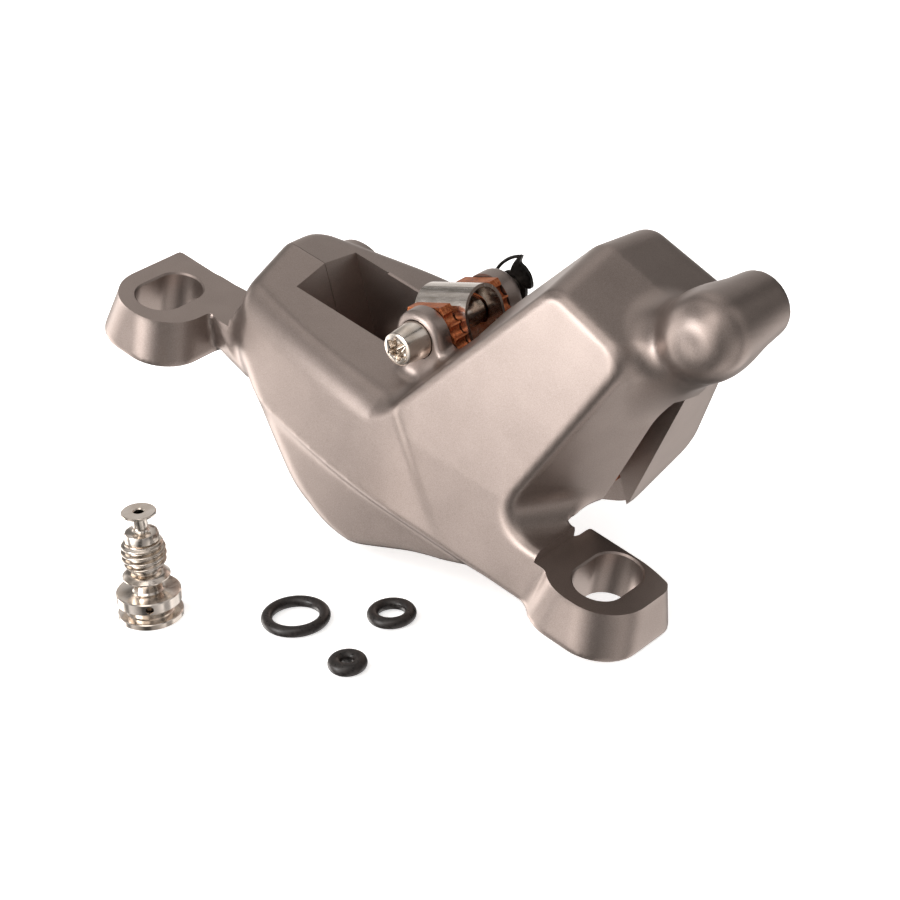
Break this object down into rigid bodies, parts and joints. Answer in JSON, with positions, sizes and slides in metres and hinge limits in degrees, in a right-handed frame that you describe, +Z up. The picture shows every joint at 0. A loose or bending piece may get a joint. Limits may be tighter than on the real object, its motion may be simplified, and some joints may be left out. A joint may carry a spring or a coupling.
{
  "type": "bicycle disc brake caliper",
  "caption": "Hydraulic post-mount disc brake caliper with sliding pistons and pads, pad pin and spring, and a loose bleed screw with its seals.",
  "frame": {"origin": "midway between the two mounting bolts, on the machined seats of their washers", "axes": "+X along the mounting ears, +Y outboard across the rotor, +Z up along the mounting bolts"},
  "size_m": [0.0884, 0.0614, 0.0595],
  "materials": {
    "cast_body": "satin anodised",
    "steel": "polished",
    "spring_steel": "bright sheet",
    "black_steel": "black",
    "copper_plate": "copper coloured",
    "lining": "rough friction material",
    "piston": "smooth",
    "rubber_seal": "smooth"
  },
  "bodies": {
    "housing": {"inboard_half": "cast_body", "outboard_half": "cast_body", "body_bolt_left": "steel", "body_bolt_right": "steel", "crossover_seal": "rubber_seal", "inboard_seal_leading": "rubber_seal", "inboard_seal_trailing": "rubber_seal", "outboard_seal_leading": "rubber_seal", "outboard_seal_trailing": "rubber_seal", "pad_spring": "spring_steel", "pad_pin": "steel", "pin_clip": "black_steel", "bleed_screw": "steel", "large_bleed_seal": "rubber_seal", "medium_bleed_seal": "rubber_seal", "small_bleed_seal": "rubber_seal"},
    "inboard_pad": {"inboard_backing_plate": "copper_plate", "inboard_lining": "lining"},
    "outboard_pad": {"outboard_backing_plate": "copper_plate", "outboard_lining": "lining"},
    "inboard_pistons": {"inboard_piston_leading": "piston", "inboard_piston_trailing": "piston"},
    "outboard_pistons": {"outboard_piston_leading": "piston", "outboard_piston_trailing": "piston"}
  },
  "joints": [
    {"name": "inboard_pad_slide", "type": "slide", "parent": "housing", "child": "inboard_pad", "axis": [0, 1, 0], "range_m": [0, 0.0012], "deforming": ["pad_spring"]},
    {"name": "outboard_pad_slide", "type": "slide", "parent": "housing", "child": "outboard_pad", "axis": [0, -1, 0], "range_m": [0, 0.0012]},
    {"name": "inboard_piston_slide", "type": "slide", "parent": "housing", "child": "inboard_pistons", "axis": [0, 1, 0], "range_m": [0, 0.0012]},
    {"name": "outboard_piston_slide", "type": "slide", "parent": "housing", "child": "outboard_pistons", "axis": [0, -1, 0], "range_m": [0, 0.0012]}
  ],
  "couplings": [
    {"joint": "outboard_pad_slide", "follows": "inboard_pad_slide", "ratio": 1},
    {"joint": "inboard_piston_slide", "follows": "inboard_pad_slide", "ratio": 1},
    {"joint": "outboard_piston_slide", "follows": "inboard_pad_slide", "ratio": 1}
  ]
}
